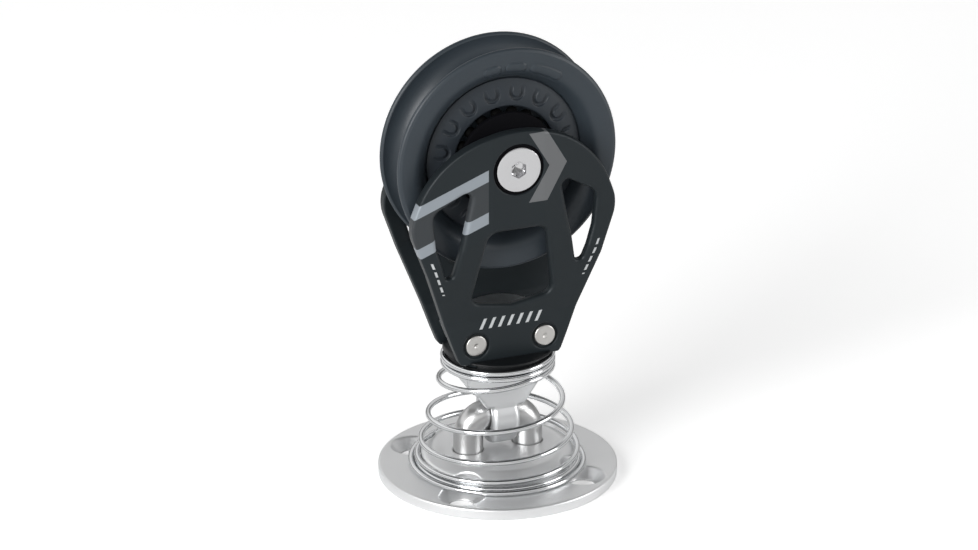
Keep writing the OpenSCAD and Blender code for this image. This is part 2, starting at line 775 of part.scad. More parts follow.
// The retainer that snaps into the sheave and keeps the balls in, with U-shaped snap fingers.
module rear_race() {
    low_y = web_half_t + seat_gap / 2;
    top_y = low_y + race_t;
    edge = 0.4;
    color(acetal) difference() {
        about_axis() polygon([
            [race_bore_r, low_y], [race_r - pocket_chamfer, low_y], [race_r, low_y + pocket_chamfer],
            [race_r, top_y - race_slope_h], [race_r - race_slope_w, top_y], [race_bore_r + edge, top_y],
            [race_bore_r, top_y - edge]]);
        for (i = [0:finger_count - 1])
            translate([0, top_y - finger_h, axis_z]) rotate([-90, (i + 0.5) * 360 / finger_count, 0])
                linear_extrude(height = 2 * finger_h) difference() {
                    finger(finger_w);
                    finger(finger_w - 2 * finger_line);
                }
    }
}

module front_race() {
    to_front() rear_race();
}

base_plate();
padeye();
spring();
spring_seat();
head();
front_cheek();
rear_cheek();
left_rivet();
right_rivet();
hub_post();
front_screw();
rear_screw();
front_screw_ring();
rear_screw_ring();
front_thrust_washer();
rear_thrust_washer();
sleeve_bearing();
sheave();
front_balls();
rear_balls();
front_race();
rear_race();
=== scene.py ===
"""Looks of the stand-up block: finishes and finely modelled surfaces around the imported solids."""
import math

import bpy
import numpy as np
from mathutils import Matrix, Vector


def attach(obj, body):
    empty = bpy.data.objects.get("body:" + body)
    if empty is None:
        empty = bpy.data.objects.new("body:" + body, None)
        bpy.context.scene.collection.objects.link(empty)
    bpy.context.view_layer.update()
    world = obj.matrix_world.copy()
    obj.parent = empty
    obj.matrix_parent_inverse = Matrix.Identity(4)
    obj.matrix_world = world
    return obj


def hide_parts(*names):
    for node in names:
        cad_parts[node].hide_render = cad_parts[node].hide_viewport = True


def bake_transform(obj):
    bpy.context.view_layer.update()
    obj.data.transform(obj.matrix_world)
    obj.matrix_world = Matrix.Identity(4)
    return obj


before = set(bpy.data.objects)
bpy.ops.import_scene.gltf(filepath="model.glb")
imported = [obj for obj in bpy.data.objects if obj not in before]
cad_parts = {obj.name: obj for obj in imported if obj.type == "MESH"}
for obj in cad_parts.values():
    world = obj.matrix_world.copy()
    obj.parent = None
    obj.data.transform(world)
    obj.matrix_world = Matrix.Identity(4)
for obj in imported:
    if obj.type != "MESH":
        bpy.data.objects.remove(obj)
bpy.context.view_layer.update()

MM = 0.001

# Driving dimensions in millimetres, as the solids have them
PLATE_D, PLATE_T = 83.0, 4.0
BOSS_R, BOSS_TOP_R, BOSS_SHOULDER_Z, BOSS_TOP_Z = 26.7, 22.5, 8.0, 10.2
SCREW_HOLE_R, SCREW_SINK_R, SCREW_CIRCLE_R = 4.25, 8.0, 32.0
BAR_R, LEG_X, BEND_R, BAR_Z = 5.2, 11.0, 7.3, 22.4
HEAD_Y, HEAD_INSET, NECK_X, NECK_TOP_Z, NECK_FOOT_X, NECK_FOOT_Z = 8.0, 3.0, 14.2, 51.6, 6.8, 27.4
LOOP_R, LOOP_X, LOOP_Z, LOOP_BORE_R = 9.8, 5.0, 21.8, 6.2
LEAN_Z, LEAN_LIMIT, BAR_GAP = 14.6, 18.0, 0.35
AXIS_Z, HUB_Y, FOOT_Y, CHEEK_T = 120.0, 19.25, 12.0, 4.0
WING_START, WING_SLOPE, DISH_LOW_Z, DISH_HIGH_Z = 9.5, 0.14, 63.4, 99.2
ARC_R, ARC_DROP, SHOULDER_R, SHOULDER_DROP, CORNER_R, CORNER_X = 37.6, 23.8, 14.0, 18.8, 5.5, 14.0
CHEEK_FOOT_Z, RIVET_X, RIVET_Z, RIVET_HEAD_R, RECESS_R = 45.6, 12.65, 54.0, 3.8, 4.7
SCREW_HEAD_R, SCREW_R, SCREW_L, RING_T, RING_DROP = 8.0, 4.0, 14.0, 1.2, 0.6
SOCKET_R, SOCKET_DEPTH, CONE_DROP = 2.5, 3.0, 0.3
SHEAVE_R, SHEAVE_Y, WEB_Y, GROOVE_R, GROOVE_DEPTH = 40.0, 9.6, 3.5, 7.0, 9.0
VALLEY_R, VALLEY_Y, CROWN_R, RIM_FALL, POCKET_EDGE = 28.4, 4.7, 36.2, 0.3, 1.2
PAD_FROM, PAD_H, PAD_W, PAD_R = 55.0, 0.3, 3.2, 33.2
PADS, PAD_CORNER, PAD_EDGE, PAD_GROOVE = ((0, 20), (24, 12), (40, 10)), 1.2, 0.35, 0.16
POST_R, SLEEVE_R, SLEEVE_T, SLEEVE_L = 8.0, 8.05, 2.4, 6.5
BALL_R, BALL_RING_R, BALL_COUNT, BALL_Y = 2.0, 16.0, 18, 5.525
RACE_BORE_R, RACE_R, RACE_T, RACE_SLOPE_W, RACE_SLOPE_H = 18.4, 28.2, 3.0, 2.8, 1.5
FINGER_COUNT, FINGER_IN_R, FINGER_W, FINGER_LINE, FINGER_L, FINGER_H = 16, 20.4, 5.6, 1.3, 6.0, 0.9
THRUST_R, THRUST_Y, THRUST_T, COLLAR_R = 17.2, 7.675, 1.8, 9.3
SEAT_LIP_R, SEAT_SPIGOT_R, FOOT_R, SEAT_TOP_Z, SEAT_LIP_T, SEAT_LOW_Z = 19.4, 17.8, 17.4, 48.2, 0.9, 41.35
SEAT_SLOT_Y, EAR_Y, EAR_TOP_Z = 12.3, 6.0, 49.6
WIRE_R, WIRE_GAP, FOOT_TURNS, OPEN_TURNS, TOP_TURNS, CLOSED_PITCH = 1.0, 0.15, 1.45, 4.05, 2.47, 2.3
GAP = 0.05

# The head's top is the scene's own, lower and flatter than the solid's
HEAD_TOP_R, HEAD_TOP_Z = 30.0, 63.7

# Printed design on the front cheek: the slant of each motif, where its middle lies and half its width
INKS = {"Panel": (0.045, 0.050, 0.054), "Pale": (0.28, 0.31, 0.34), "Mid": (0.15, 0.155, 0.16),
        "White": (0.55, 0.57, 0.58)}
BAR_SLANT, BAR_HIGH, BAR_LOW, BAR_HALF, WING_X, WING_HALF = (-0.42, 0.91), 113.2, 99.2, 1.9, -31.0, 20.0
CHEVRON_BEND, CHEVRON_X, CHEVRON_HALF, CHEVRON_REACH = 0.6, 14.6, 3.4, 12.6
TICK_SLANT, TICK_Z, TICK_PITCH, TICK_SHARE, TICK_HALF, TICK_REACH = 0.45, 61.9, 3.4, 0.17, 1.9, 11.5
DASH_SLANT, DASH_AT, DASH_HALF, DASH_PITCH, DASH_SHARE = (0.935, -0.355), -2.9, 0.4, 3.2, 0.33
DASH_Z, DASH_REACH = 82.4, 6.6

# Studio, with the dome's greys by height, those of its own two ends first
AIM_Z = 0.080
DOME_R, DOME_GLOW, DOME_LEFT = 5000.0, 1.0, 0.34
DOME_RAMP = ((0, 0.14), (1, 0.05), (0.14, 0.25), (0.32, 0.95), (0.58, 0.90), (0.76, 0.15))
FLOOR_HALF, FLOOR_GREY, FLOOR_GLOW = 6, 0.6, 0.3


def aim_camera(azimuth, elevation, distance, target, lens):
    """Stands the camera on a sphere round the target, level, and looks at it."""
    a, e = math.radians(azimuth), math.radians(elevation)
    back = Vector((math.sin(a) * math.cos(e), -math.cos(a) * math.cos(e), math.sin(e)))
    right = Vector((math.cos(a), math.sin(a), 0))
    up = back.cross(right)
    camera = bpy.data.objects.new("camera", bpy.data.cameras.new("camera"))
    centre = Vector((0, 0, AIM_Z)) + right * target[0] + up * target[1]
    turn = Matrix((right, up, back)).transposed().to_4x4()
    camera.matrix_world = Matrix.Translation(centre + back * distance) @ turn
    camera.data.sensor_fit = "HORIZONTAL"
    camera.data.sensor_width = 36
    camera.data.lens = lens
    camera.data.clip_end = 20
    bpy.context.scene.collection.objects.link(camera)
    bpy.context.scene.camera = camera


aim_camera(azimuth=-22.0, elevation=23.0, distance=2.5, target=(-0.0030, -0.00573), lens=268.3)


# Mesh makers

def make_mesh(name, points, quads, body, material, sharp=None):
    """A mesh of quads in millimetres, smooth except across edges sharper than a given angle."""
    mesh = bpy.data.meshes.new(name)
    mesh.vertices.add(len(points))
    mesh.vertices.foreach_set("co", (np.asarray(points, dtype=np.float32) * MM).ravel())
    quads = np.asarray(quads, dtype=np.int32)
    mesh.loops.add(quads.size)
    mesh.loops.foreach_set("vertex_index", quads.ravel())
    mesh.polygons.add(len(quads))
    mesh.polygons.foreach_set("loop_start", np.arange(0, quads.size, 4, dtype=np.int32))
    mesh.update(calc_edges=True)
    mesh.validate()
    mesh.polygons.foreach_set("use_smooth", np.ones(len(mesh.polygons), dtype=bool))
    if sharp is not None:
        mesh.set_sharp_from_angle(angle=math.radians(sharp))
    piece = bpy.data.objects.new(name, mesh)
    bpy.context.scene.collection.objects.link(piece)
    piece.data.materials.append(material)
    if body:
        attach(piece, body)
    return piece


def grid_quads(rows, columns, close_rows=False, close_columns=True, first=0):
    """Faces of a grid of points, row by row, each row wound so that rows that grow make the left side outer."""
    r = np.arange(rows if close_rows else rows - 1)[:, None]
    c = np.arange(columns if close_columns else columns - 1)[None, :]
    next_r, next_c = (r + 1) % rows, (c + 1) % columns
    corners = (r * columns + c, r * columns + next_c, next_r * columns + next_c, next_r * columns + c)
    shape = np.broadcast_shapes(r.shape, c.shape)
    return first + np.stack([np.broadcast_to(k, shape) for k in corners], -1).reshape(-1, 4)


def skin(field, low, high, step):
    """Closed surface where a field is zero, negative inside.

    Each grid cell that the surface crosses gets one point, the mean of the crossings on its edges, then
    moved along the field's slope onto the surface. Each crossed grid edge joins its four cells by a quad."""
    counts = [int(math.ceil((b - a) / step)) + 1 for a, b in zip(low, high)]
    axes = [a + step * np.arange(n) for a, n in zip(low, counts)]
    shaped = [axis.reshape([-1 if k == d else 1 for k in range(3)]) for d, axis in enumerate(axes)]
    value = np.broadcast_to(field(*shaped), counts)
    cells = [n - 1 for n in counts]
    total = np.zeros(cells + [3])
    hits = np.zeros(cells)
    crossed = []
    for d in range(3):
        near = value[tuple(slice(0, -1) if k == d else slice(None) for k in range(3))]
        far = value[tuple(slice(1, None) if k == d else slice(None) for k in range(3))]
        cross = (near < 0) != (far < 0)
        crossed.append((cross, near < 0))
        share = np.where(cross, near / np.where(cross, near - far, 1), 0)
        others = [k for k in range(3) if k != d]
        for shift_a in (0, 1):
            for shift_b in (0, 1):
                cut = [slice(None)] * 3
                cut[others[0]] = slice(shift_a, shift_a + cells[others[0]])
                cut[others[1]] = slice(shift_b, shift_b + cells[others[1]])
                here = cross[tuple(cut)]
                hits += here
                total[..., d] += np.where(here, share[tuple(cut)], 0)
                total[..., others[0]] += here * shift_a
                total[..., others[1]] += here * shift_b
    active = hits > 0
    number = np.full(cells, -1)
    number[active] = np.arange(active.sum())
    corner = np.stack(np.nonzero(active), -1)
    points = (corner + total[active] / hits[active][:, None]) * step + np.array(low)
    quads = []
    for d in range(3):
        cross, leaving = crossed[d]
        a, b = (d + 1) % 3, (d + 2) % 3
        where = np.stack(np.nonzero(cross), -1)
        for k in (a, b):
            where = where[(where[:, k] > 0) & (where[:, k] < counts[k] - 1)]
        out = leaving[tuple(where.T)]
        ring = []
        for step_a, step_b in ((-1, -1), (0, -1), (0, 0), (-1, 0)):
            cell = where.copy()
            cell[:, a] += step_a
            cell[:, b] += step_b
            ring.append(number[tuple(cell.T)])
        ring = np.stack(ring, -1)
        quads.append(np.where(out[:, None], ring, ring[:, ::-1]))
    reach = 0.02
    for _ in range(3):
        here = field(*points.T)
        slope = np.stack([(field(*(points + shift).T) - field(*(points - shift).T)) / (2 * reach)
                          for shift in reach * np.eye(3)], -1)
        move = slope * (here / np.maximum((slope ** 2).sum(-1), 0.2))[:, None]
        length = np.linalg.norm(move, axis=-1, keepdims=True)
        points = points - move * np.minimum(1, 0.5 * step / np.maximum(length, 1e-9))
    return points, np.concatenate(quads)


def round_max(a, b, r):
    """What lies inside both fields, with the edge where they meet rounded to a radius."""
    return np.minimum(np.maximum(a, b), -r) + np.hypot(np.maximum(a + r, 0), np.maximum(b + r, 0))


def round_min(a, b, r):
    """What lies inside either field, with the corner where they meet filled to a radius."""
    return -round_max(-a, -b, r)


def hull_distance(discs, steps=360):
    """Distance to the outline round a set of discs (u, v, radius), negative inside.

    For each direction the outline reaches as far as its furthest disc, and a point's distance is the most
    by which it passes that reach in any direction."""
    turn = np.linspace(0, 2 * math.pi, steps, endpoint=False)
    way = np.stack([np.cos(turn), np.sin(turn)])
    discs = np.array(discs)
    reach = (discs[:, :2] @ way + discs[:, 2:]).max(0)

    def distance(u, v):
        """The most by which the points pass the outline's reach in any direction."""
        u, v = np.broadcast_arrays(u, v)
        flat = np.stack([u.ravel(), v.ravel()], -1)
        parts = [(part @ way - reach).max(-1) for part in np.array_split(flat, max(1, len(flat) // 20000))]
        return np.concatenate(parts).reshape(u.shape)
    return distance


def rounded_corners(corners, r):
    """Discs that round the corners of a polygon, drawn anticlockwise: each lies in both its sides by the radius."""
    here = np.array(corners, dtype=float)
    side = np.roll(here, -1, 0) - here
    normal = np.stack([side[:, 1], -side[:, 0]], -1) / np.linalg.norm(side, axis=-1, keepdims=True)
    before = np.roll(normal, 1, 0)
    inset = here - r * (normal + before) / (1 + (normal * before).sum(-1, keepdims=True))
    return [(u, v, r) for u, v in inset]


def lathe(profile, count=128):
    """Points and faces of a profile of (radius, height) turned about Z: closed where it starts and ends at the axis."""
    profile = np.array(profile, dtype=float)
    turn = np.linspace(0, 2 * math.pi, count, endpoint=False)
    r, z = profile[:, :1], profile[:, 1:]
    points = np.stack([r * np.cos(turn), r * np.sin(turn), np.broadcast_to(z, (len(profile), count))], -1)
    return points.reshape(-1, 3), grid_quads(len(profile), count)


def arc(u, v, r, start, end, steps=8):
    """Points of an arc about (u, v), from one angle to another in degrees."""
    turn = np.radians(np.linspace(start, end, steps))
    return np.stack([u + r * np.cos(turn), v + r * np.sin(turn)], -1).tolist()


def on_axis(points, side=1, x=0.0, z=AXIS_Z):
    """Turns points made about Z so that their height runs along Y, out to the rear or, mirrored, to the front."""
    px, py, pz = points.T
    return np.stack([x + px, side * pz, z + py * -side], -1)


def sweep(path, radius, sides=16):
    """A round wire along a path of points, with flat ends: rings square to the path, kept level by one direction."""
    ahead = np.gradient(path, axis=0)
    ahead /= np.linalg.norm(ahead, axis=-1, keepdims=True)
    up = np.array([0, 0, 1.0]) if abs(ahead[:, 2]).max() < 0.7 else np.array([0, 1.0, 0])
    across = np.cross(ahead, up)
    across /= np.linalg.norm(across, axis=-1, keepdims=True)
    over = np.cross(across, ahead)
    turn = np.linspace(0, 2 * math.pi, sides, endpoint=False)
    around = np.cos(turn)[None, :, None] * across[:, None] + np.sin(turn)[None, :, None] * over[:, None]
    rings = path[:, None] + radius * around
    start, end = ([path[k] + share * (rings[k] - path[k]) for share in (0, 0.7)] for k in (0, -1))
    rings = np.concatenate([start, rings, end[::-1]])
    return rings.reshape(-1, 3), grid_quads(len(rings), sides)[:, ::-1]


# Shader groups and materials

def new_group(name, inputs, outputs):
    """A shader node group with named sockets: returns it with its input and output nodes."""
    group = bpy.data.node_groups.new(name, "ShaderNodeTree")
    for label, kind, value in inputs:
        socket = group.interface.new_socket(label, in_out="INPUT", socket_type=kind)
        socket.default_value = value
    for label, kind in outputs:
        group.interface.new_socket(label, in_out="OUTPUT", socket_type=kind)
    return group, group.nodes.new("NodeGroupInput"), group.nodes.new("NodeGroupOutput")


def give(tree, socket, value):
    """Sets a socket to a value, or links it to another socket."""
    if isinstance(value, bpy.types.NodeSocket):
        tree.links.new(value, socket)
    else:
        socket.default_value = value


def maths(tree, kind, *values):
    """The result of a math node on numbers or sockets."""
    node = tree.nodes.new("ShaderNodeMath")
    node.operation = kind
    for socket, value in zip(node.inputs, values):
        give(tree, socket, value)
    return node.outputs[0]


def mix_colour(tree, factor, a, b):
    """The mix of two colours, each four numbers or a socket, by a factor's socket."""
    node = tree.nodes.new("ShaderNodeMix")
    node.data_type = "RGBA"
    for name, value in (("Factor", factor), ("A", a), ("B", b)):
        give(tree, node.inputs[name], value)
    return node.outputs["Result"]


def object_place(tree):
    """The place in the object's own coordinates, in metres."""
    return tree.nodes.new("ShaderNodeTexCoord").outputs["Object"]


def object_axes(tree):
    """The outputs X, Y and Z of the place in the object's own coordinates."""
    parts = tree.nodes.new("ShaderNodeSeparateXYZ")
    give(tree, parts.inputs[0], object_place(tree))
    return parts.outputs


def cloud(tree, scale, detail):
    """A noise over the object's own coordinates."""
    node = tree.nodes.new("ShaderNodeTexNoise")
    node.inputs["Detail"].default_value = detail
    give(tree, node.inputs["Scale"], scale)
    give(tree, node.inputs["Vector"], object_place(tree))
    return node.outputs["Fac"]


def make_grain():
    """Fine surface grain: two noises of different size vary the roughness, and the finer one lifts a bump."""
    group, given, out = new_group("surface_grain", [
        ("Size", "NodeSocketFloat", 900.0), ("Rough", "NodeSocketFloat", 0.35), ("Spread", "NodeSocketFloat", 0.1)],
        [("Roughness", "NodeSocketFloat"), ("Height", "NodeSocketFloat")])
    fine, broad = cloud(group, given.outputs["Size"], 3), cloud(group, 60, 4)
    centre = maths(group, "SUBTRACT", maths(group, "ADD", fine, broad), 1.0)
    rough = maths(group, "MULTIPLY_ADD", centre, given.outputs["Spread"], given.outputs["Rough"])
    give(group, out.inputs["Roughness"], rough)
    give(group, out.inputs["Height"], fine)
    return group


GRAIN = make_grain()


def finish(name, colour, metal, rough, spread, size, bump, shade=0.0, gloss=0.5):
    """A material: one base colour with a little broad shading, a grain in its roughness and its bump."""
    material = bpy.data.materials.new(name)
    material.use_nodes = True
    tree = material.node_tree
    shader = tree.nodes["Principled BSDF"].inputs
    shader["Metallic"].default_value = metal
    shader["Specular IOR Level"].default_value = gloss
    grain = tree.nodes.new("ShaderNodeGroup")
    grain.node_tree = GRAIN
    for label, value in (("Size", size), ("Rough", rough), ("Spread", spread)):
        grain.inputs[label].default_value = value
    give(tree, shader["Roughness"], grain.outputs["Roughness"])
    lift = tree.nodes.new("ShaderNodeBump")
    lift.inputs["Strength"].default_value = 1.0
    lift.inputs["Distance"].default_value = bump * MM
    give(tree, lift.inputs["Height"], grain.outputs["Height"])
    give(tree, shader["Normal"], lift.outputs["Normal"])
    dark, light = ((*[min(1, c * (1 + side * shade)) for c in colour], 1) for side in (-1, 1))
    give(tree, shader["Base Color"], mix_colour(tree, cloud(tree, 45, 5), dark, light))
    return material


def dark_anodising(name):
    """The cheeks' dark grey anodised finish."""
    return finish(name, (0.016, 0.021, 0.024), 0.2, 0.42, 0.08, 1600, 0.006, shade=0.10, gloss=0.25)


satin_steel = finish("satin_stainless", (0.84, 0.845, 0.85), 0.9, 0.44, 0.08, 2600, 0.010, shade=0.04)
bar_steel = finish("padeye_stainless", (0.56, 0.56, 0.56), 1.0, 0.30, 0.04, 900, 0.001, shade=0.05)
head_steel = finish("forged_stainless", (0.78, 0.79, 0.80), 1.0, 0.38, 0.05, 700, 0.001, shade=0.04)
polished_steel = finish("polished_steel", (0.68, 0.68, 0.69), 1.0, 0.16, 0.08, 1200, 0.003, shade=0.03)
wire_steel = finish("spring_wire", (0.70, 0.71, 0.72), 1.0, 0.13, 0.06, 1500, 0.002, shade=0.05)
rivet_steel = finish("rivet_steel", (0.58, 0.57, 0.55), 1.0, 0.34, 0.10, 1200, 0.004, shade=0.06)
anodised, printed = dark_anodising("dark_anodised"), dark_anodising("printed_anodised")
moulded = finish("black_moulded", (0.004, 0.005, 0.006), 0.0, 0.46, 0.10, 1300, 0.006, shade=0.1, gloss=0.3)
race_black = finish("race_moulded", (0.023, 0.029, 0.036), 0.0, 0.44, 0.10, 1100, 0.010, shade=0.15, gloss=0.35)
washer_black = finish("washer_moulded", (0.001, 0.001, 0.002), 0.0, 0.75, 0.10, 1300, 0.006, gloss=0.1)
sheave_black = finish("sheave_moulded", (0.030, 0.039, 0.048), 0.0, 0.42, 0.08, 1100, 0.008, shade=0.12, gloss=0.4)
ball_black = finish("ball_plastic", (0.001, 0.001, 0.001), 0.0, 0.70, 0.05, 900, 0.002, gloss=0.05)
liner = finish("woven_liner", (0.03, 0.028, 0.024), 0.0, 0.6, 0.1, 900, 0.01, shade=0.15)


def make_print_masks():
    """Masks of a plain printed design, from the place on the face in millimetres: a dark panel between two pale slanted
    bars on the left wing, a mid grey chevron beside the screw, a row of slanted ticks under the middle window and
    dashes along both edges."""
    group, _, out = new_group("print_masks", [], [(name, "NodeSocketFloat") for name in INKS])
    axes = object_axes(group)
    x, z = (maths(group, "MULTIPLY", axes[name], 1 / MM) for name in "XZ")
    up, side = maths(group, "SUBTRACT", z, AXIS_Z), maths(group, "ABSOLUTE", x)

    def slanted(u, a, b):
        """Distance along a slanted direction: a share of one coordinate and a share of the height."""
        return maths(group, "MULTIPLY_ADD", u, a, maths(group, "MULTIPLY", z, b))

    def within(value, centre, half):
        """One where a value lies within half a width of the centre."""
        return maths(group, "COMPARE", value, centre, half)

    def both(a, b):
        """One where both masks are."""
        return maths(group, "MULTIPLY", a, b)

    rise, wing = slanted(x, *BAR_SLANT), within(x, WING_X, WING_HALF)
    bars = maths(group, "MAXIMUM", within(rise, BAR_HIGH, BAR_HALF), within(rise, BAR_LOW, BAR_HALF))
    panel = within(rise, (BAR_HIGH + BAR_LOW) / 2, (BAR_HIGH - BAR_LOW) / 2)
    bent = maths(group, "MULTIPLY_ADD", maths(group, "ABSOLUTE", up), CHEVRON_BEND, x)
    chevron = both(within(bent, CHEVRON_X, CHEVRON_HALF), within(up, 0.0, CHEVRON_REACH))
    lean = maths(group, "ADD", slanted(x, 1.0, -TICK_SLANT), TICK_SLANT * TICK_Z)
    tick = maths(group, "FRACT", maths(group, "MULTIPLY_ADD", lean, 1 / TICK_PITCH, 0.5))
    ticks = both(within(tick, 0.5, TICK_SHARE), both(within(z, TICK_Z, TICK_HALF), within(lean, 0.0, TICK_REACH)))
    dash = within(maths(group, "FRACT", maths(group, "DIVIDE", z, DASH_PITCH)), 0.5, DASH_SHARE)
    row = both(within(slanted(side, *DASH_SLANT), DASH_AT, DASH_HALF), within(z, DASH_Z, DASH_REACH))
    white = maths(group, "MAXIMUM", ticks, both(row, dash))
    for name, mask in zip(INKS, (both(panel, wing), both(bars, wing), chevron, white)):
        give(group, out.inputs[name], mask)
    return group


def add_print(material, group):
    """Prints a group's masks over a material: its colour gives way to each ink in turn."""
    tree = material.node_tree
    masks = tree.nodes.new("ShaderNodeGroup")
    masks.node_tree = group
    base = tree.nodes["Principled BSDF"].inputs["Base Color"]
    below = base.links[0].from_socket
    for name, colour in INKS.items():
        below = mix_colour(tree, masks.outputs[name], below, (*colour, 1))
    give(tree, base, below)


add_print(printed, make_print_masks())


# Deck fitting

def deck_plate_field(x, y, z):
    """A disc and a boss with a sloping shoulder, less four countersunk holes and the padeye's two holes."""
    r = np.hypot(x, y)
    disc = round_max(r - PLATE_D / 2, np.abs(z - PLATE_T / 2) - PLATE_T / 2, 0.6)
    run, drop = BOSS_R - BOSS_TOP_R, BOSS_TOP_Z - BOSS_SHOULDER_Z
    slope = ((r - BOSS_TOP_R) * drop + (z - BOSS_TOP_Z) * run) / math.hypot(run, drop)
    top = round_max(round_max(r - BOSS_R, slope, 0.8), np.abs(z - BOSS_TOP_Z / 2) - BOSS_TOP_Z / 2, 0.4)
    body = round_min(disc, top, 0.5)
    at = SCREW_CIRCLE_R / math.sqrt(2)
    from_hole = np.hypot(np.abs(x) - at, np.abs(y) - at)
    sink = np.maximum((from_hole - SCREW_SINK_R + PLATE_T + 0.15 - z) / math.sqrt(2), from_hole - SCREW_SINK_R)
    body = round_max(body, -np.minimum(from_hole - SCREW_HOLE_R, sink), 0.3)
    return round_max(body, -(np.hypot(np.abs(x) - LEG_X, y) - BAR_R - 0.15), 0.35)


def build_deck_fitting():
    """The plate, and the padeye's bar along its legs, bends and crossbar."""
    step = 0.42
    edge = PLATE_D / 2 + 1
    points, quads = skin(deck_plate_field, (-edge, -edge, -1), (edge, edge, BOSS_TOP_Z + 1), step)
    plate = make_mesh("deck_plate_finish", points, quads, "deck_fitting", satin_steel)
    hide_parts("base_plate")
    straight, low = LEG_X - BEND_R, BAR_Z - BEND_R
    leg = [(LEG_X, 0.5)] + [(LEG_X, z) for z in np.linspace(2, low, 6)[:-1]]
    half = np.array(leg + arc(straight, low, BEND_R, 0, 90, 24))
    route = np.concatenate([half, [(0, BAR_Z)], (half * (-1, 1))[::-1]])
    path = np.stack([route[:, 0], 0 * route[:, 0], route[:, 1]], -1)
    points, quads = sweep(path, BAR_R, 64)
    bar = make_mesh("padeye_bar", points, quads, "deck_fitting", bar_steel, sharp=50)
    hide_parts("padeye")


# Head

def cheek_discs(inset=0.0):
    """Discs whose outline is the cheek's: its long top arc as many points, its shoulders and its bottom corners."""
    low = math.degrees(math.asin((ARC_DROP - SHOULDER_DROP) / ARC_R))
    top = [(u, v, -inset) for u, v in arc(0, AXIS_Z - ARC_DROP, ARC_R, low, 180 - low, 240)]
    x = ARC_R - SHOULDER_R - 0.3
    return top + [(s * x, AXIS_Z - SHOULDER_DROP, SHOULDER_R - inset) for s in (-1, 1)] + [
        (s * CORNER_X, CHEEK_FOOT_Z + CORNER_R, CORNER_R - inset) for s in (-1, 1)]


cheek_outline = hull_distance(cheek_discs())
neck_outline = hull_distance(rounded_corners([
    (-NECK_X, NECK_TOP_Z), (-NECK_X, CHEEK_FOOT_Z - 8), (-NECK_FOOT_X, NECK_FOOT_Z), (NECK_FOOT_X, NECK_FOOT_Z),
    (NECK_X, CHEEK_FOOT_Z - 8), (NECK_X, NECK_TOP_Z)], 0.8))


def head_field(x, y, z):
    """A tang with a round top, a tapered neck and a crowned loop, less the ways of the crossbar as the block leans."""
    flat = np.abs(y) - HEAD_Y + 0.05
    top = np.hypot(x, z - HEAD_TOP_Z + HEAD_TOP_R) - HEAD_TOP_R
    tang = np.maximum(np.maximum(top, cheek_outline(x, z) + HEAD_INSET), EAR_TOP_Z + 0.6 - z)
    plan = np.minimum(tang, neck_outline(x, z))
    body = round_max(plan, flat, 1.1)
    ring = round_max(np.hypot(y, z - LOOP_Z) - LOOP_R, np.abs(x) - LOOP_X, 2.2)
    whole = round_min(body, ring, 1.0)
    bore = np.hypot(y, z - (BAR_Z - BAR_R - 0.25 + LOOP_BORE_R)) - LOOP_BORE_R
    for lean in np.radians(np.linspace(-LEAN_LIMIT, LEAN_LIMIT, 9)):
        up = math.cos(lean) * (z - LEAN_Z) + math.sin(lean) * x
        bore = np.minimum(bore, np.hypot(y, up - (BAR_Z - LEAN_Z)) - BAR_R - BAR_GAP)
    return round_max(whole, -bore, 0.7)


def build_head():
    """The forged head between the cheeks and round the crossbar."""
    points, quads = skin(head_field, (-24, -11, 10.5), (24, 11, 73), 0.4)
    head = make_mesh("head_forging", points, quads, "block", head_steel)
    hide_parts("head")


# Cheeks

def window(*discs, sides=(-1, 1)):
    """A window's outline round discs (x, drop below the axis, radius), on both sides of the middle or on one."""
    return hull_distance([(side * x, AXIS_Z - drop, r) for side in sides for x, drop, r in discs])


middle_window = window((6.8, 26.5, 4.2), (10.9, 46.7, 3.7), (0, 48.2, 4.2))
rear_window = window((6.8, 26.5, 4.2), (9.8, 40.6, 3.7))
side_window = window((18.6, 9, 2.0), (25.3, 16, 4.5), (24.4, 25, 4.5), (23.9, 36.6, 1.6), sides=(1,))


def cheek_face(x, z):
    """Depth of a cheek's outer face: the hub's flat, dished in to the head below and falling back along the wings."""
    dish = FOOT_Y + (HUB_Y - FOOT_Y) * np.clip((z - DISH_LOW_Z) / (DISH_HIGH_Z - DISH_LOW_Z), 0, 1)
    wing = HUB_Y - WING_SLOPE * np.maximum(0, np.abs(x) - WING_START)
    return np.minimum(dish, wing)


def cheek_field(middle, x, y, z):
    """A plate between the dished face and the same face set back, inside the outline and outside its windows."""
    face = cheek_face(x, z)
    steep = math.hypot(1, (HUB_Y - FOOT_Y) / (DISH_HIGH_Z - DISH_LOW_Z))
    plate = round_max(cheek_outline(x, z), (y - face) / steep, 0.7)
    plate = round_max(plate, (face - CHEEK_T - y) / steep, 0.4)
    holes = np.minimum(middle(x, z), side_window(np.abs(x), z))
    plate = round_max(plate, -holes, 1.5)
    from_axis = np.hypot(x, z - AXIS_Z)
    depth = np.clip(HUB_Y - RING_DROP - y, 0, CHEEK_T)
    sink = (from_axis - (SCREW_HEAD_R + RING_T + GAP - depth)) / np.where(depth > 0, math.sqrt(2), 1)
    recess = np.maximum(np.hypot(np.abs(x) - RIVET_X, z - RIVET_Z) - RECESS_R, FOOT_Y - 1 - y)
    beside_foot = np.maximum(FOOT_R - np.hypot(x, y), z - SEAT_TOP_Z + SEAT_LIP_T)
    plate = round_max(plate, -beside_foot, 0.2)
    return round_max(round_max(plate, -sink, 0.2), -recess, 0.25)


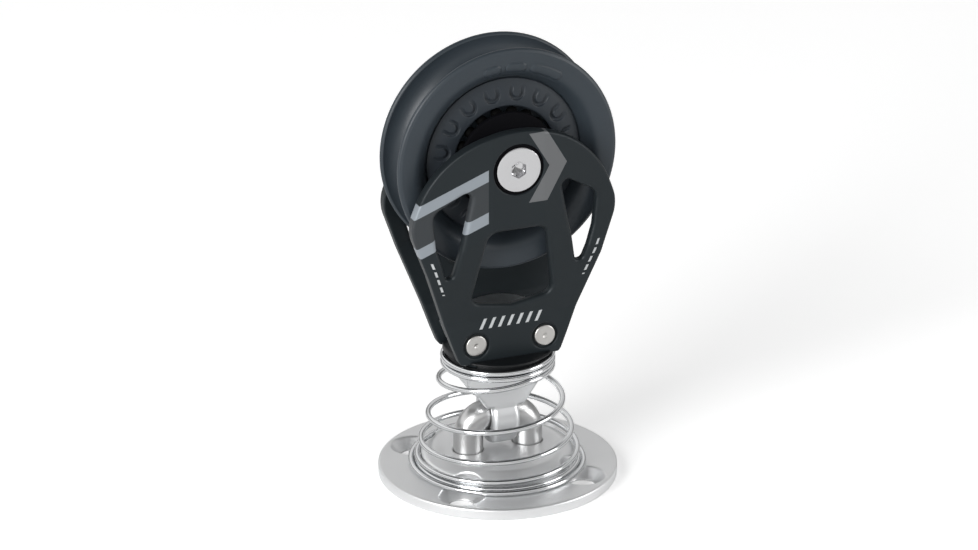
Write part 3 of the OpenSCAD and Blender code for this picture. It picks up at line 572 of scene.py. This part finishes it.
def build_cheeks():
    """Both cheeks from one form, each with its own middle window, the front one mirrored with its faces turned back
    out. The rear window ends higher than the solid's, so that no background shows under the sheave."""
    low, high, step = (-39, 6.8, 44.6), (39, 20.3, 134.8), 0.4
    for name, node, middle, side, material in (("rear_cheek_face", "rear_cheek", rear_window, 1, anodised),
                                               ("front_cheek_face", "front_cheek", middle_window, -1, printed)):
        points, quads = skin(lambda *at: cheek_field(middle, *at), low, high, step)
        cheek = make_mesh(name, points * (1, side, 1), quads[:, ::side], "block", material)
        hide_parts(node)


# Spring seat

def seat_field(x, y, z):
    """A disc with a spigot and a lip, a slot for the cheeks, two ears between them and ways for neck and loop."""
    r = np.hypot(x, y)
    middle_z = (SEAT_LOW_Z + SEAT_TOP_Z) / 2
    spigot = round_max(r - SEAT_SPIGOT_R, np.abs(z - middle_z) - (SEAT_TOP_Z - SEAT_LOW_Z) / 2, 0.4)
    lip = round_max(r - SEAT_LIP_R, np.abs(z - SEAT_TOP_Z + SEAT_LIP_T / 2) - SEAT_LIP_T / 2, 0.35)
    way = np.maximum(np.abs(y) - SEAT_SLOT_Y, CHEEK_FOOT_Z - GAP - z)
    disc = round_max(np.minimum(spigot, lip), -way, 0.2)
    low = SEAT_TOP_Z - SEAT_LIP_T
    core = round_max(r - FOOT_R, CHEEK_FOOT_Z - 1 - z, 0.1)
    wide = np.maximum(r - SEAT_LIP_R + 0.2, low - z)
    ear = round_max(round_max(np.minimum(core, wide), np.abs(y) - EAR_Y, 0.5), z - EAR_TOP_Z, 0.6)
    slot = np.minimum(np.maximum(np.abs(x) - NECK_X - 0.3, np.abs(y) - HEAD_Y - 0.3),
                      np.maximum(np.abs(x) - LOOP_X - 0.3, np.abs(y) - LOOP_R - 0.3))
    return round_max(np.minimum(disc, ear), -slot, 0.2)


def build_seat():
    """The black seat that the spring's top turns grip."""
    points, quads = skin(seat_field, (-20.5, -20.5, 40.5), (20.5, 20.5, 50.6), 0.34)
    seat = make_mesh("seat_moulding", points, quads, "block", moulded)
    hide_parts("spring_seat")


# Screws, rivets and rings

def screw_surface():
    """Countersunk head with a hexagon socket: rings that turn from round at the rim to six-sided in the socket."""
    turn = np.linspace(0, 2 * math.pi, 192, endpoint=False)
    hexagon = SOCKET_R / np.cos((turn + math.pi / 6) % (math.pi / 3) - math.pi / 6)
    top, level = HUB_Y - GAP, 0 * turn
    low, cone, floor = HUB_Y - SCREW_L, top - CONE_DROP, top - SOCKET_DEPTH
    rings = [(level, low), (level + SCREW_R - 0.6, low), (level + SCREW_R, low + 0.6),
             (level + SCREW_R, cone - SCREW_HEAD_R + SCREW_R), (level + SCREW_HEAD_R - 0.1, cone - 0.1),
             (level + SCREW_HEAD_R, cone), (level + SCREW_HEAD_R, top - 0.2), (level + SCREW_HEAD_R - 0.07, top - 0.07),
             (level + SCREW_HEAD_R - 0.25, top), (level + 6.5, top), (level + 5, top), (hexagon + 0.9, top),
             (hexagon + 0.4, top), (hexagon + 0.12, top - 0.1), (hexagon, top - 0.3), (hexagon, top - 1.2),
             (hexagon, floor), (level + 1.2, floor - 0.4), (level, floor - 0.7)]
    points = np.stack([np.stack([r * np.cos(turn), r * np.sin(turn), 0 * turn + h], -1) for r, h in rings])
    return points.reshape(-1, 3), grid_quads(len(rings), len(turn))


def both_sides(names, points, quads, body, material, sharp=35):
    """A piece made about Z and put on the axis at the rear, and the same again, mirrored, at the front."""
    for side, (name, node) in zip((1, -1), names):
        piece = make_mesh(name, on_axis(points, side), quads, body, material, sharp=sharp)
        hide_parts(node)


def build_fasteners():
    """The two centre screws with their rings, and the two rivets in their dark recesses."""
    points, quads = screw_surface()
    both_sides((("rear_screw_head", "rear_screw"), ("front_screw_head", "front_screw")),
               points, quads, "block", polished_steel)
    low, top = HUB_Y - CHEEK_T + GAP, HUB_Y - RING_DROP
    outer, inner = SCREW_HEAD_R + RING_T, SCREW_HEAD_R + CONE_DROP + 2 * GAP - HUB_Y
    points, quads = lathe([(inner + low, low), (inner + top - 0.1, top - 0.1), (inner + top + 0.05, top),
                           (outer - 0.15, top), (outer - 0.03, top - 0.05), (outer - 0.02, top - 0.15),
                           (outer - top + low, low), (inner + low, low)])
    both_sides((("rear_black_ring", "rear_screw_ring"), ("front_black_ring", "front_screw_ring")),
               points, quads[:, ::-1], "block", washer_black)
    face = FOOT_Y + 0.15
    turned = [(0, face - 0.45), (0.35, face - 0.42), (0.75, face - 0.1), (0.95, face - 0.02), (1.5, face - 0.01),
              (2.4, face), (3.2, face), (3.5, face - 0.04), (3.7, face - 0.15), (RIVET_HEAD_R, face - 0.38),
              (RIVET_HEAD_R, FOOT_Y - 0.98), (3.0, FOOT_Y - 0.98)]
    points, quads = lathe([(r, -h) for r, h in turned] + turned[::-1], 96)
    for x, where in ((-RIVET_X, "left"), (RIVET_X, "right")):
        placed = on_axis(points, 1, x, RIVET_Z)
        rivet = make_mesh(f"{where}_rivet_turned", placed, quads, "block", rivet_steel, sharp=40)
        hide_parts(f"{where}_rivet")


# Sheave and its retainers

def flange_face(r):
    """Half thickness along a flange's face: steep out of the valley by a cube, then falling by a square to the rim."""
    up = np.minimum(1, (r - VALLEY_R) / (CROWN_R - VALLEY_R))
    out = np.maximum(0, (r - CROWN_R) / (SHEAVE_R - CROWN_R))
    return VALLEY_Y + (SHEAVE_Y - VALLEY_Y) * (1 - (1 - up) ** 3) - RIM_FALL * out ** 2


def sheave_profile():
    """Section of the sheave: from the bore out over the rear face, rim and rope groove to the front face."""
    hub = SLEEVE_R + SLEEVE_T + 0.025
    edge_r = (SHEAVE_Y - RIM_FALL - GROOVE_R) / 2
    rim_r, groove_centre = SHEAVE_R - edge_r, SHEAVE_R - GROOVE_DEPTH + GROOVE_R
    half = [(hub, 0), (hub, SLEEVE_L - 0.2), (hub + 0.2, SLEEVE_L), (hub + 2.2, SLEEVE_L),
            (hub + 2.45, SLEEVE_L - 0.25), (hub + 2.95, WEB_Y + 0.3), (hub + 3.3, WEB_Y),
            (VALLEY_R - POCKET_EDGE, WEB_Y), (VALLEY_R, VALLEY_Y)]
    half += [(r, flange_face(r)) for r in VALLEY_R + (rim_r - VALLEY_R) * np.linspace(0.02, 1, 48) ** 1.2]
    half += arc(rim_r, GROOVE_R + edge_r, edge_r, 80, -75, 14)
    half += arc(groove_centre, 0, GROOVE_R, 80, 180, 26)
    half = np.array(half)
    return np.concatenate([half, (half[:-1] * (1, -1))[::-1]])


def pad_lift(r, angle):
    """Height of three raised pads on the front flange: a soft step up at each outline, with a fine groove round it."""
    lift = 0
    for start, span in PADS:
        centre, half = math.radians(PAD_FROM + start + span / 2), math.radians(span / 2)
        along = np.abs(np.angle(np.exp(1j * (angle - centre)))) - half
        out = round_max(along * PAD_R, np.abs(r - PAD_R) - PAD_W / 2, PAD_CORNER)
        step = np.clip(0.5 - out / PAD_EDGE, 0, 1)
        groove = np.clip(1 - np.abs(out - PAD_EDGE) / PAD_EDGE, 0, 1)
        lift = lift + PAD_H * step * step * (3 - 2 * step) - PAD_GROOVE * groove
    return lift


def build_sheave():
    """The sheave as a turned grid, whose front face rises to three plain pads."""
    points, quads = lathe(sheave_profile(), 480)
    r, height = np.hypot(points[:, 0], points[:, 1]), points[:, 2]
    face = (height < -GROOVE_R) & (r < CROWN_R + 2)
    angle = np.arctan2(-points[:, 1], points[:, 0])
    points[:, 2] -= np.where(face, pad_lift(r, angle), 0)
    placed = on_axis(points)
    wheel = make_mesh("sheave_moulding", placed, quads, "sheave_wheel", sheave_black, sharp=40)
    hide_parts("sheave")


def race_field(x, y, z):
    """A ring that slopes down outside, with U-shaped grooves round sixteen snap fingers, made about Z."""
    r = np.hypot(x, y)
    low = WEB_Y + 0.03
    top = low + RACE_T
    tilt = math.hypot(RACE_SLOPE_H, RACE_SLOPE_W)
    slope = ((r - RACE_R + RACE_SLOPE_W) * RACE_SLOPE_H + (z - top) * RACE_SLOPE_W) / tilt
    ring = round_max(round_max(z - top, slope, 2.5), np.maximum(r - RACE_R, RACE_BORE_R - r), 0.45)
    whole = np.maximum(ring, low - z)
    whole = np.maximum(whole, (r - RACE_R + POCKET_EDGE - (z - low)) / math.sqrt(2))
    part = 2 * math.pi / FINGER_COUNT
    turn = np.arctan2(y, x) % part - part / 2
    along, aside = r * np.cos(turn) - FINGER_IN_R - FINGER_W / 2, np.abs(r * np.sin(turn))
    round_end = np.where(along < 0, np.hypot(along, aside), aside)
    line = np.abs(round_end - (FINGER_W - FINGER_LINE) / 2) - FINGER_LINE / 2
    groove = round_max(np.maximum(line, along - FINGER_L + FINGER_W / 2), top - FINGER_H - z, 0.12)
    return round_max(whole, -groove, 0.12)


def ball_ring():
    """A ring of balls, each a grid of rings from pole to pole."""
    across = np.linspace(0, math.pi, 13)
    turn = np.linspace(0, 2 * math.pi, 24, endpoint=False)
    one = BALL_R * np.stack([np.sin(across)[:, None] * np.cos(turn), np.sin(across)[:, None] * np.sin(turn),
                             -np.cos(across)[:, None] + 0 * turn], -1).reshape(-1, 3)
    points, quads = [], []
    for number in range(BALL_COUNT):
        a = 2 * math.pi * number / BALL_COUNT
        points.append(one + (BALL_RING_R * math.cos(a), BALL_RING_R * math.sin(a), BALL_Y))
        quads.append(grid_quads(len(across), len(turn), first=number * len(one)))
    return np.concatenate(points), np.concatenate(quads)


def build_bearings():
    """The retainers, balls, thrust washers, post and sleeve inside the sheave."""
    points, quads = skin(race_field, (-29.5, -29.5, 2.6), (29.5, 29.5, 7.4), 0.29)
    both_sides((("rear_retainer", "rear_race"), ("front_retainer", "front_race")),
               points, quads, "sheave_wheel", race_black, sharp=None)
    points, quads = ball_ring()
    both_sides((("rear_ball_ring", "rear_balls"), ("front_ball_ring", "front_balls")),
               points, quads, "sheave_wheel", ball_black, sharp=None)
    bore, end = POST_R + 0.1, HUB_Y - CHEEK_T - GAP
    low, top = THRUST_Y, THRUST_Y + THRUST_T
    points, quads = lathe([(bore, low), (THRUST_R - 0.3, low), (THRUST_R - 0.09, low + 0.09), (THRUST_R, low + 0.3),
                           (THRUST_R, top - 0.5), (THRUST_R - 0.15, top - 0.15), (THRUST_R - 0.5, top),
                           (COLLAR_R + 1, top), (COLLAR_R + 0.3, top + 0.3), (COLLAR_R, top + 1), (COLLAR_R, end),
                           (bore, end), (bore, low)])
    both_sides((("rear_washer", "rear_thrust_washer"), ("front_washer", "front_thrust_washer")),
               points, quads, "block", washer_black)
    mouth = SCREW_R + GAP
    half = [(0, end - 11), (mouth, end - 11), (mouth, end - 0.6), (mouth + 0.6, end), (POST_R - 0.3, end),
            (POST_R, end - 0.3)]
    points, quads = lathe(half + [(r, -h) for r, h in half[::-1]], 96)
    post = make_mesh("post_turned", on_axis(points), quads, "block", satin_steel, sharp=35)
    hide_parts("hub_post")
    wall, half_l = SLEEVE_R + SLEEVE_T, SLEEVE_L
    points, quads = lathe([(SLEEVE_R, -half_l), (wall - 0.2, -half_l), (wall, -half_l + 0.2), (wall, half_l - 0.2),
                           (wall - 0.2, half_l), (SLEEVE_R, half_l), (SLEEVE_R, -half_l)], 96)
    sleeve = make_mesh("sleeve_liner", on_axis(points), quads, "sheave_wheel", liner, sharp=35)
    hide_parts("sleeve_bearing")


# Spring

def spring_path(per_turn):
    """The wire's middle: flat round the boss, then a cone that rises ever faster, then closed turns."""
    low, high, rise = PLATE_T + WIRE_R + GAP, SEAT_TOP_Z - SEAT_LIP_T - WIRE_R - GAP, WIRE_R / 2
    boss_r, top_r = BOSS_R + WIRE_R + 2 * WIRE_GAP, SEAT_SPIGOT_R + WIRE_R + WIRE_GAP
    foot_r = boss_r + 2 * WIRE_R + WIRE_GAP
    top = high - CLOSED_PITCH * TOP_TURNS
    turns = FOOT_TURNS + OPEN_TURNS + TOP_TURNS
    t = np.linspace(0, turns, int(turns * per_turn) + 1)
    u = (t - FOOT_TURNS) / OPEN_TURNS
    z = np.where(t < FOOT_TURNS, low + rise * (t / FOOT_TURNS) ** 3,
                 np.where(u < 1, low + rise + (top - low - rise) * (0.1 * u + 0.9 * u * u),
                          top + CLOSED_PITCH * (t - FOOT_TURNS - OPEN_TURNS)))
    up = np.clip((z - BOSS_SHOULDER_Z) / (top - BOSS_SHOULDER_Z), 0, 1)
    v = np.clip((t - 0.55) / 0.4, 0, 1)
    r = np.where(t < 1, foot_r + (boss_r - foot_r) * v * v * (3 - 2 * v), boss_r + (top_r - boss_r) * up)
    a = np.radians(360 * t + 100)
    return np.stack([r * np.cos(a), r * np.sin(a), z], -1)


def build_spring():
    """The conical spring in two lengths of wire, parted where the wire first rises past 24 mm."""
    path = spring_path(96)
    middle = int(np.argmax(path[:, 2] > 24))
    for name, part, bodies, span in (("spring_lower", path[:middle + 1], ("deck_fitting", "spring_link"), (6, 24)),
                                     ("spring_upper", path[middle:], ("spring_link", "block"), (24, 41))):
        points, quads = sweep(part, WIRE_R, 16)
        wire = make_mesh(name, points, quads, None, wire_steel, sharp=60)
        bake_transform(wire)
        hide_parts("spring")


# Stage and light

def white_to_eye(tree):
    """A factor that is one for rays of the camera, of gloss and through glass, and nought for diffuse light."""
    path = tree.nodes.new("ShaderNodeLightPath")
    seen = maths(tree, "MAXIMUM", path.outputs["Is Camera Ray"], path.outputs["Is Glossy Ray"])
    return maths(tree, "MAXIMUM", seen, path.outputs["Is Transmission Ray"])


def stage_piece(name, points, quads, material):
    """A piece of the studio, made in metres."""
    mesh = bpy.data.meshes.new(name)
    mesh.from_pydata(points, [], quads)
    mesh.materials.append(material)
    piece = bpy.data.objects.new(name, mesh)
    bpy.context.scene.collection.objects.link(piece)
    return piece


def build_dome():
    """The studio's walls and ceiling: a dome with a bright band a third of the way up, brighter to the left and dark
    above, which lights the block but isn't seen by the camera."""
    up = np.radians(np.linspace(0, 90, 31))[:, None]
    turn = np.linspace(0, 2 * math.pi, 96, endpoint=False)[None, :]
    points = DOME_R * MM * np.stack([np.cos(up) * np.cos(turn), np.cos(up) * np.sin(turn), np.sin(up) + 0 * turn], -1)
    material = bpy.data.materials.new("studio_walls")
    material.use_nodes = True
    tree = material.node_tree
    tree.nodes.remove(tree.nodes["Principled BSDF"])
    axes = object_axes(tree)
    height = tree.nodes.new("ShaderNodeValToRGB")
    give(tree, height.inputs["Fac"], maths(tree, "DIVIDE", axes["Z"], DOME_R * MM))
    stops = height.color_ramp.elements
    for number, (at, grey) in enumerate(DOME_RAMP):
        stop = stops[number] if number < 2 else stops.new(at)
        stop.color = (grey, grey, grey, 1)
    glow = tree.nodes.new("ShaderNodeEmission")
    give(tree, glow.inputs["Color"], height.outputs["Color"])
    give(tree, glow.inputs["Strength"], maths(tree, "MULTIPLY_ADD", axes["X"], -DOME_LEFT / (DOME_R * MM), DOME_GLOW))
    give(tree, tree.nodes["Material Output"].inputs["Surface"], glow.outputs[0])
    dome = stage_piece("studio_dome", points.reshape(-1, 3).tolist(), grid_quads(*points.shape[:2]).tolist(), material)
    dome.visible_camera = dome.visible_transmission = dome.visible_shadow = False


def build_stage():
    """A wide white floor, a world that is white to the eye and two soft lamps."""
    white = bpy.data.materials.new("floor_white")
    white.use_nodes = True
    tree = white.node_tree
    shader = tree.nodes["Principled BSDF"].inputs
    shader["Roughness"].default_value = 0.9
    shader["Specular IOR Level"].default_value = 0.0
    give(tree, shader["Base Color"], mix_colour(tree, white_to_eye(tree), (*[FLOOR_GREY] * 3, 1), (1, 1, 1, 1)))
    path = tree.nodes.new("ShaderNodeLightPath")
    shader["Emission Color"].default_value = (1, 1, 1, 1)
    give(tree, shader["Emission Strength"], maths(tree, "MULTIPLY", path.outputs["Is Camera Ray"], FLOOR_GLOW))
    corners = [(x * FLOOR_HALF, y * FLOOR_HALF, 0) for x, y in ((-1, -1), (1, -1), (1, 1), (-1, 1))]
    floor = stage_piece("floor", corners, [(0, 1, 2, 3)], white)

    world = bpy.data.worlds.new("studio")
    bpy.context.scene.world = world
    world.use_nodes = True
    sky = world.node_tree.nodes["Background"].inputs
    sky["Color"].default_value = (1, 1, 1, 1)
    give(world.node_tree, sky["Strength"], white_to_eye(world.node_tree))

    def lamp(name, place, size, power):
        """A rectangular lamp of some watts, turned to the block."""
        light = bpy.data.lights.new(name, "AREA")
        light.shape = "RECTANGLE"
        light.size, light.size_y = size
        light.energy = power
        lamp_object = bpy.data.objects.new(name, light)
        lamp_object.location = place
        lamp_object.rotation_euler = (Vector(place) - Vector((0, 0, AIM_Z))).to_track_quat("Z", "Y").to_euler()
        bpy.context.scene.collection.objects.link(lamp_object)

    lamp("key", (-1.6, -0.9, 0.8), (0.9, 1.2), 32)
    lamp("fill", (1.5, -0.9, 0.5), (0.8, 1.0), 11)
    bpy.context.scene.view_settings.view_transform = "Standard"


build_deck_fitting()
build_head()
build_cheeks()
build_seat()
build_fasteners()
build_sheave()
build_bearings()
build_spring()
build_stage()
build_dome()
